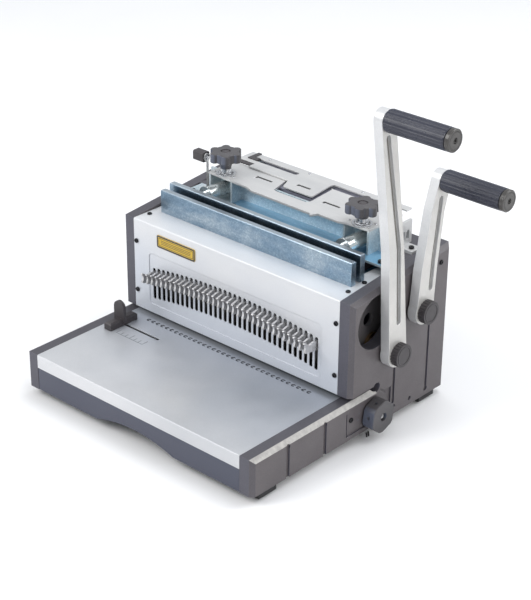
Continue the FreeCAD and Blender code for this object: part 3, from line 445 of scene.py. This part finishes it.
GROUND = bare_metal("ground_steel", (0.42, 0.42, 0.43), (0.58, 0.58, 0.59), (20, 700, 700))
OILED = bare_metal("oiled_steel", (0.030, 0.028, 0.026), (0.070, 0.066, 0.060),
                   (60, 400, 400), rough=(0.3, 0.5), metallic=0.8)
TURNED = bare_metal("turned_steel", (0.50, 0.51, 0.53), (0.68, 0.69, 0.71),
                    (700, 60, 700), rough=(0.18, 0.3))
NICKEL = bare_metal("nickel_hooks", (0.50, 0.495, 0.50), (0.70, 0.695, 0.70),
                    (300, 300, 40), rough=(0.26, 0.40), metallic=0.8)
BLACK_STEEL = bare_metal("blackened_steel", (0.040, 0.039, 0.042), (0.068, 0.066, 0.070),
                         (200, 200, 200), rough=(0.42, 0.56), metallic=0.3)
SCREW_BLACK = bare_metal("black_oxide_screw", (0.012, 0.012, 0.014), (0.030, 0.030, 0.034),
                         (400, 400, 400), rough=(0.22, 0.34), metallic=0.7)
BRONZE = bare_metal("sintered_bronze", (0.36, 0.24, 0.12), (0.52, 0.36, 0.19),
                    (500, 500, 500), rough=(0.35, 0.5))

ALLOY = cast_alloy("cast_alloy_arm", (0.60, 0.605, 0.61), (0.72, 0.72, 0.725))
RUBBER = rubber_like("foot_rubber", (0.016, 0.016, 0.017), (0.030, 0.030, 0.032))
INK_DARK = ink("ink_dark", (0.022, 0.024, 0.032))
INK_GREY = ink("ink_grey", (0.10, 0.11, 0.13))

# What each of the record's material slots looks like, and the nodes that differ from their slot.
FINISH = {
    "cover_plastic": COVER, "grip_plastic": GRIP, "knob_plastic": KNOB, "rubber": RUBBER,
    "tray_silver": TRAY, "panel_silver": PANEL, "apron_paint": APRON, "badge": BADGE,
    "zinc_plate": ZINC, "zinc_bright": BRIGHT, "steel_ground": GROUND, "steel_dark": BLACK_STEEL,
    "cast_alloy": ALLOY, "bronze": BRONZE, "screw_black": SCREW_BLACK, "screw_bright": TURNED,
}
OVERRIDE = {
    "right_side_plate": SHADE, "left_side_plate": SHADE, "slide_rail": RAIL, "size_plate": STRIP,
    "front_jaw": JAW, "moving_jaw": JAW, "hook_comb": NICKEL, "push_rods": TURNED,
    "guide_bushes": BUSH, "punch_grip_cap": CAP, "closing_grip_cap": CAP,
    "star_knob_left": WHEEL, "star_knob_right": WHEEL, "margin_knob": WHEEL,
    "punch_pins": OILED, "punch_bar": OILED, "punch_yokes": OILED, "punch_eccentrics": OILED,
    "closing_eccentrics": OILED, "pin_guide_block": OILED, "bar_guide_posts": OILED,
}

slot_of = {part["node"]: part["material_slot"] for part in frame["record"]["subparts"]}
for node, obj in frame["nodes"].items():
    chosen = OVERRIDE.get(node) or FINISH[slot_of[node]]
    for target in [obj, *obj.children_recursive]:
        if target.type != "MESH":
            continue
        for material_slot in target.material_slots:
            material_slot.material = chosen
        if not target.material_slots:
            target.data.materials.append(chosen)


# ------------------------------------------------------------------ sizes taken over from the CAD
PITCH = 25.4 / 3
LOOPS = 34
TRAY_TOP = far_side("paper_tray", "z")
COVER_FACE = far_side("right_side_cover", "x")
REAR_FACE = far_side("rear_cover", "y")
PLATE_TOP = far_side("top_cover_plate", "z")
STOP_TOP = far_side("stop_plate", "z")
STAR_X, STAR_Y = 115.5, 112.0
# Places on the machine's right side: Y, Z.
PUNCH_PIVOT = (69.5, 99.5)
CLOSE_PIVOT = (120.8, 138.9)
PUNCH_GRIP = (32.0, 413.5)
CLOSE_GRIP = (148.0, 304.5)
MARGIN = (46.0, 20.0)
# How far ink, a washer or a rivet stands off the face it lies on.
OFF_FACE = 0.02
# The smallest radius in a turned profile, in place of the axis itself.
AXIS = 0.01


# ------------------------------------------------------------------ mesh helpers
def piece(name, bm, body, material, smooth=True):
    """Make a bmesh a piece that rides on a body. Smooth applies to its four-sided faces."""
    bmesh.ops.recalc_face_normals(bm, faces=bm.faces[:])
    for face in bm.faces:
        face.smooth = smooth and len(face.verts) == 4
    mesh = bpy.data.meshes.new(name)
    bm.to_mesh(mesh)
    bm.free()
    obj = bpy.data.objects.new(name, mesh)
    bpy.context.scene.collection.objects.link(obj)
    mesh.materials.append(material)
    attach(obj, body)


def lathe(bm, profile, place, axis, sides):
    """Closed turned shape. profile is a loop of (radius, height) in mm, place a point of at()."""
    axis = Vector(axis).normalized()
    across = axis.cross(Vector(UP if abs(axis.z) < 0.9 else RIGHT)).normalized()
    other = axis.cross(across)
    rings = []
    for i in range(sides):
        turn = 2 * math.pi * i / sides
        out = across * math.cos(turn) + other * math.sin(turn)
        rings.append([bm.verts.new(place + (out * radius + axis * height) / 1000)
                      for radius, height in profile])
    for here, there in zip(rings, rings[1:] + rings[:1]):
        for j in range(len(profile)):
            k = (j + 1) % len(profile)
            bm.faces.new((here[j], here[k], there[k], there[j]))


def plate(bm, outline, low, high, to_place):
    """Thin plate: outline in 2-D mm, from low to high, to_place(u, v, w) gives the point."""
    bottom = [bm.verts.new(to_place(u, v, low)) for u, v in outline]
    top = [bm.verts.new(to_place(u, v, high)) for u, v in outline]
    bm.faces.new(bottom)
    bm.faces.new(top)
    for i in range(len(outline)):
        k = (i + 1) % len(outline)
        bm.faces.new((bottom[i], bottom[k], top[k], top[i]))


def band(bm, outer, inner, low, high, to_place):
    """Closed frame between two outlines with the same number of points."""
    loops = [[bm.verts.new(to_place(u, v, w)) for u, v in line]
             for line, w in ((outer, low), (outer, high), (inner, high), (inner, low))]
    for i in range(len(outer)):
        k = (i + 1) % len(outer)
        for one, two in zip(loops, loops[1:] + loops[:1]):
            bm.faces.new((one[i], one[k], two[k], two[i]))


def turned(name, shapes, body, material):
    """A piece of turned shapes, each a profile, a place, an axis and a number of sides."""
    bm = bmesh.new()
    for shape in shapes:
        lathe(bm, *shape)
    piece(name, bm, body, material)


def flat(name, outlines, low, high, to_place, body, material):
    """A piece of thin plates that all have the same thickness."""
    bm = bmesh.new()
    for outline in outlines:
        plate(bm, outline, low, high, to_place)
    piece(name, bm, body, material, smooth=False)


def ring_profile(inner, outer, low, high, soft=0.2):
    """Section of a flat ring whose upper edges are chamfered by soft."""
    return [(inner, low), (outer, low), (outer, high - soft), (outer - soft, high),
            (inner + soft, high), (inner, high - soft)]


def rectangle(x0, x1, y0, y1):
    return [(x0, y0), (x1, y0), (x1, y1), (x0, y1)]


def rounded(x0, x1, y0, y1, radius, steps=5):
    """Rectangle with round corners."""
    points = []
    for cx, cy, start in ((x1 - radius, y1 - radius, 0), (x0 + radius, y1 - radius, 90),
                          (x0 + radius, y0 + radius, 180), (x1 - radius, y0 + radius, 270)):
        for i in range(steps + 1):
            turn = math.radians(start + 90 * i / steps)
            points.append((cx + radius * math.cos(turn), cy + radius * math.sin(turn)))
    return points


def on_tray(u, v, w):
    return at(u, v, TRAY_TOP + w)


def on_panel(u, v, w):
    return at(u, -w, v)


def on_right(u, v, w):
    return at(COVER_FACE + w, u, v)


def on_rear(u, v, w):
    return at(u, REAR_FACE + w, v)


# ------------------------------------------------------------------ printed marks
def tray_ring_marks():
    """One open ring per loop along the throat."""
    row_y, first_angle, sweep, steps = -11, 35, 290, 12
    outer_x, outer_y, inner_x, inner_y = 3.2, 3.0, 1.5, 1.3
    outlines = []
    for i in range(LOOPS):
        x = PITCH * (i - (LOOPS - 1) / 2)
        turns = [math.radians(first_angle + sweep * k / steps) for k in range(steps + 1)]
        outer = [(x + outer_x * math.cos(turn), row_y + outer_y * math.sin(turn))
                 for turn in turns]
        inner = [(x + inner_x * math.cos(turn), row_y + inner_y * math.sin(turn))
                 for turn in turns]
        outlines.append(outer + inner[::-1])
    flat("tray_ring_marks", outlines, OFF_FACE, 0.09, on_tray, "frame", INK_DARK)


def tray_scale_marks():
    """A short paper stop scale by the guide: seven lines, the long ones every third, on a bar."""
    line_half, foot = 0.45, -64
    outlines = [rectangle(x - line_half, x + line_half, foot, foot + length) for x, length in (
        (-146, 10), (-138, 6), (-130, 6), (-122, 10), (-114, 6), (-106, 6), (-98, 10))]
    outlines.append(rectangle(-146.4, -97.6, -65, -64.2))
    flat("tray_scale_marks", outlines, OFF_FACE, 0.08, on_tray, "frame", INK_GREY)


def badge_border():
    """Black frame, a fine inner line and three plain lines on the blank gold badge."""
    x0, x1, z0, z1 = -132.0, -63.5, 156.5, 174.0
    badge_face = 1.02

    def inset(by, radius):
        return rounded(x0 + by, x1 - by, z0 + by, z1 - by, radius)

    bm = bmesh.new()
    band(bm, inset(0.3, 2.3), inset(2.3, 1.2), badge_face, 1.14, on_panel)
    band(bm, inset(3.4, 1.2), inset(4.0, 0.8), badge_face, 1.10, on_panel)
    for k in range(3):
        z = z0 + 6.6 + 2.2 * k
        line = rounded(x0 + 7.5, x1 - 7.5, z - 0.35, z + 0.35, 0.3, 2)
        plate(bm, line, badge_face, 1.10, on_panel)
    piece("badge_border", bm, "frame", INK_DARK, smooth=False)


def margin_scale():
    """Marks on the cover's sunk field round the margin knob, as far up as the field goes."""
    near, far, long_far, half, field_top = 24.5, 27.5, 29.0, 0.35, 42
    first_angle, step = 60, 20
    outlines = []
    for k in range(7):
        turn = math.radians(first_angle + step * k)
        end = far if k % 3 else long_far
        corners = [(MARGIN[0] + radius * math.cos(turn) - side * half * math.sin(turn),
                    MARGIN[1] + radius * math.sin(turn) + side * half * math.cos(turn))
                   for radius, side in ((near, -1), (end, -1), (end, 1), (near, 1))]
        if all(z < field_top for _, z in corners):
            outlines.append(corners)
    flat("margin_scale", outlines, -1.98, -1.90, on_right, "frame", INK_GREY)


# ------------------------------------------------------------------ turned small parts
def washers():
    ring = ring_profile(10.2, 13.2, OFF_FACE, 1.0)
    turned("stud_washers", [(ring, at(side * STAR_X, STAR_Y, PLATE_TOP), UP, 48)
                            for side in (-1, 1)], "frame", TURNED)
    ring = ring_profile(8.4, 15.5, 0.3, 2.7)
    turned("lever_washers", [(ring, at(COVER_FACE, *pivot), RIGHT, 48)
                             for pivot in (PUNCH_PIVOT, CLOSE_PIVOT)],
           "frame", KNOB)
    ring_radius, wire_radius = 8.7, 0.55
    ring = [(ring_radius + wire_radius * math.cos(math.radians(a)),
             wire_radius * math.sin(math.radians(a))) for a in range(0, 360, 45)]
    turned("bush_rings", [(ring, at(side * 116.5, 77.5, 210), REAR, 48) for side in (-1, 1)],
           "frame", RUBBER)


def star_inserts():
    """Domed plugs and raised rims in the dished tops of the star knobs."""
    dome = [(AXIS, -1.15), (5.6, -1.15), (5.6, -0.75), (4.6, -0.4), (3.0, -0.2), (AXIS, -0.12)]
    rim = [(6.4, -1.15), (6.9, -1.15), (6.9, -0.1), (6.4, -0.1)]
    for side, hand in ((-1, "left"), (1, "right")):
        top = at(side * STAR_X, STAR_Y, far_side("star_knob_" + hand, "z"))
        turned("star_insert_" + hand, [(dome, top, UP, 36), (rim, top, UP, 48)],
               hand + "_star", KNOB)


def stud_threads():
    """Thread crests on the studs between their collars and the nuts."""
    root, crest, lead, first, count = 4.02, 4.45, 1.1, 223.4, 3
    profiles = [[(root, z), (crest, z + 0.35), (root, z + 0.7)]
                for z in (first + lead * k for k in range(count))]
    for side, hand in ((-1, "left"), (1, "right")):
        turned("stud_thread_" + hand,
               [(profile, at(side * STAR_X, STAR_Y, 0), UP, 36) for profile in profiles],
               hand + "_star", TURNED)


def cap_rings():
    """Moulded rings on the faces of the lever caps, and on the faces of the grip caps."""
    for lever, pivot, grip in (("punch", PUNCH_PIVOT, PUNCH_GRIP),
                               ("closing", CLOSE_PIVOT, CLOSE_GRIP)):
        face = at(far_side(lever + "_arm_cap", "x"), *pivot)
        turned(lever + "_cap_ring", [(ring_profile(11.0, 12.2, OFF_FACE, 0.45), face, RIGHT, 48)],
               lever + "_lever", KNOB)
        end = at(far_side(lever + "_grip_cap", "x"), *grip)
        turned(lever + "_grip_ring", [(ring_profile(2.3, 3.6, -0.3, 0.0, 0.1), end, RIGHT, 36),
                                      (ring_profile(10.2, 10.9, -0.3, 0.0, 0.1), end, RIGHT, 48)],
               lever + "_handle", GRIP)


def rivets(name, places, axis, radius, height, body, material):
    """Domed heads."""
    dome = [(AXIS, OFF_FACE), (radius, OFF_FACE), (radius * 0.96, height * 0.45),
            (radius * 0.72, height * 0.82), (radius * 0.35, height * 0.98), (AXIS, height)]
    turned(name, [(dome, place, axis, 24) for place in places], body, material)


def socket_screws(name, places, radius, height):
    """Upright black cylinder head screws with a socket."""
    floor_height = height - height * 0.55
    head = [(AXIS, floor_height), (radius * 0.5, floor_height), (radius * 0.5, height),
            (radius * 0.86, height), (radius, height - 0.3), (radius, OFF_FACE), (AXIS, OFF_FACE)]
    turned(name, [(head, place, UP, 30) for place in places], "frame", SCREW_BLACK)


def small_fasteners():
    rivets("top_plate_rivets",
           [at(x, y, PLATE_TOP) for x, y in ((-130, 121), (-98, 109), (-130, 107), (130, 121),
                                             (98, 109), (130, 108))],
           UP, 1.9, 1.0, "frame", TURNED)
    rivets("stop_plate_rivets", [at(x, 181.5, STOP_TOP) for x in (-100, -30, 60, 116.5)],
           UP, 2.0, 1.1, "closing_slide", TURNED)
    socket_screws("bracket_screws", [at(x, 95, 196.5) for x in (-160, -86, 86, 160)], 3.6, 3.2)
    socket_screws("end_bracket_screw", [at(167, 147, 200)], 3.4, 3.0)
    rivets("rear_cover_screws", [on_rear(x, z, 0) for x in (-166, 0, 166) for z in (14, 186)],
           REAR, 3.0, 1.0, "frame", SCREW_BLACK)
    recess_depth = 2.5
    rivets("left_cover_screws",
           [at(recess_depth - COVER_FACE, y, z) for y, z in ((119.5, 9.0), (152.5, 9.6),
                                                             (87.5, 11.0))],
           LEFT, 2.3, 1.2, "frame", SCREW_BLACK)


def margin_screw_dome():
    """Domed ring round the middle of the screw's face in the margin knob."""
    dome = [(1.2, 0.05), (3.6, 0.05), (3.3, 0.9), (2.4, 1.5), (1.2, 1.7)]
    face = at(far_side("margin_knob_screw", "x"), *MARGIN)
    turned("margin_screw_dome", [(dome, face, RIGHT, 32)], "margin_wheel", NICKEL)


def margin_clip():
    """Two pins of a spring clip, which slant down and outward below the margin knob."""
    pin = [(AXIS, 0.0), (1.1, 0.0), (1.1, 5.6), (0.7, 6.2), (AXIS, 6.4)]
    turned("margin_clip_legs", [(pin, at(200.5, y, 0.6), (0.25, -0.1, -1), 16)
                                for y in (28.4, 32.0)], "frame", SCREW_BLACK)


# ------------------------------------------------------------------ sheet small parts
def rear_vents():
    """Rows of pressed louvres across the rear cover."""
    half, ramp_end = 14, 12.5
    column_pitch, row_pitch, lowest_row = 40.0, 14.0, 60.0
    section = [(0.0, 0.05), (0.35, 0.9), (1.2, 1.35), (2.4, 1.0), (3.8, 0.4), (5.0, 0.05)]
    bm = bmesh.new()
    for row in range(4):
        for column in range(-3, 4):
            x, z = column * column_pitch, lowest_row + row * row_pitch
            rows = [[bm.verts.new(on_rear(x + end, z + v, w if abs(end) < half else 0.04))
                     for v, w in section] for end in (-half, -ramp_end, ramp_end, half)]
            for one, two in zip(rows, rows[1:]):
                for k in range(len(section) - 1):
                    bm.faces.new((one[k], one[k + 1], two[k + 1], two[k]))
            for end_row in (rows[0], rows[-1]):
                bm.faces.new(end_row)
            bm.faces.new([line[0] for line in rows] + [line[-1] for line in reversed(rows)])
    piece("rear_louvres", bm, "frame", COVER, smooth=False)


def wear_strip():
    """Black strip beside the stop plate."""
    low, high = 230.42, 231.9
    flat("slide_wear_strip", [rounded(-130, -106.4, 150.2, 157.8, 1.0)], low, high, at,
         "closing_slide", KNOB)


def slot_cover():
    """Strip under the tray that travels with the guide and shuts the slot behind it."""
    low, high = -3.6, -3.05
    flat("guide_slot_cover", [rounded(-152.7, -99, -45.5, -36.5, 1.5)], low, high, on_tray,
         "guide", GROUND)


def window_shadow_fills():
    """Black fills in the slits of the windows in the two top plates, standing in for the shade
    inside.
    """
    slit, gap, below, under_top = 3.0, 0.04, 0.3, 0.76
    for name, corners, length, width, top, thick, body in (
            ("cover_window_felt", ((-78.5, 124), (38.5, 121.5)), 27, 10, PLATE_TOP, 3.0, "frame"),
            ("stop_window_felt", ((-18, 137.5),), 22, 8.5, STOP_TOP, 2.0, "closing_slide")):
        outlines = []
        for x0, y0 in corners:
            x1, y1, middle = x0 + length - gap, y0 + width - gap, y0 + width / 2 + gap
            inside = y1 - slit + 2 * gap
            outlines.append([(x0 + gap, middle), (x0 + slit - gap, middle),
                             (x0 + slit - gap, inside), (x1, inside), (x1, y1), (x0 + gap, y1)])
        flat(name, outlines, top - thick - below, top - under_top, at, body, RUBBER)


tray_ring_marks()
tray_scale_marks()
badge_border()
margin_scale()
washers()
star_inserts()
stud_threads()
cap_rings()
small_fasteners()
rear_vents()
wear_strip()
margin_clip()
slot_cover()
window_shadow_fills()
margin_screw_dome()


# ------------------------------------------------------------------ floor, light, camera
def floor():
    half = 9.0
    mesh = bpy.data.meshes.new("studio_floor")
    mesh.from_pydata([(x, y, 0) for x, y in rectangle(-half, half, -half, half)],
                     [], [(0, 1, 2, 3)])
    obj = bpy.data.objects.new("studio_floor", mesh)
    bpy.context.scene.collection.objects.link(obj)
    g = Graph("studio_floor_paper")
    tint = g.ramp(g.noise(3, 2), [(0.3, (0.86, 0.86, 0.865)), (0.7, (0.88, 0.88, 0.885))])
    mesh.materials.append(g.finish(tint, g.spread(g.noise(40, 2), 0.7, 0.8)))


def world():
    made = bpy.data.worlds.new("studio")
    made.use_nodes = True
    background = made.node_tree.nodes["Background"]
    background.inputs["Color"].default_value = (0.93, 0.96, 1.0, 1)
    background.inputs["Strength"].default_value = 0.68
    bpy.context.scene.world = made


def camera():
    azimuth, elevation, roll = math.radians(41.851), math.radians(27.112), math.radians(0.537)
    back = Vector((math.sin(azimuth) * math.cos(elevation),
                   -math.cos(azimuth) * math.cos(elevation), math.sin(elevation)))
    right = Vector((math.cos(azimuth), math.sin(azimuth), 0))
    up = back.cross(right)
    tilted_right = right * math.cos(roll) + up * math.sin(roll)
    tilted_up = up * math.cos(roll) - right * math.sin(roll)
    cam = bpy.data.cameras.new("camera")
    cam.lens = 102.555
    cam.sensor_width = 36
    cam.clip_start, cam.clip_end = 0.05, 30
    obj = bpy.data.objects.new("camera", cam)
    turn = Matrix((tilted_right, tilted_up, back)).transposed().to_4x4()
    obj.matrix_world = Matrix.Translation(at(1309.6, -1398.5, 1106.0)) @ turn
    bpy.context.scene.collection.objects.link(obj)
    bpy.context.scene.camera = obj


def softbox(name, place, target, size, power, colour):
    light = bpy.data.lights.new(name, "AREA")
    light.shape = "RECTANGLE"
    light.size, light.size_y = size
    light.energy = power
    light.color = colour
    obj = bpy.data.objects.new(name, light)
    obj.location = place
    obj.rotation_euler = (Vector(target) - Vector(place)).to_track_quat("-Z", "Y").to_euler()
    bpy.context.scene.collection.objects.link(obj)


floor()
world()
camera()
# Name, place, target, size, watts, colour.
softbox("key_light", (-1.3, -2.0, 2.2), (0, 0, 0.15), (1.6, 1.6), 52, (1.0, 0.99, 0.975))
softbox("right_light", (2.3, -0.4, 1.2), (0, 0, 0.15), (1.2, 1.2), 15, (1.0, 0.98, 0.96))
softbox("top_light", (0.2, 0.7, 2.7), (0, 0, 0.2), (1.8, 1.2), 26, (0.97, 0.98, 1.0))
softbox("rear_right_light", (1.5, 1.9, 1.9), (0.1, 0, 0.1), (1.0, 1.4), 22, (0.98, 0.99, 1.0))
bpy.context.scene.view_settings.view_transform = "Standard"
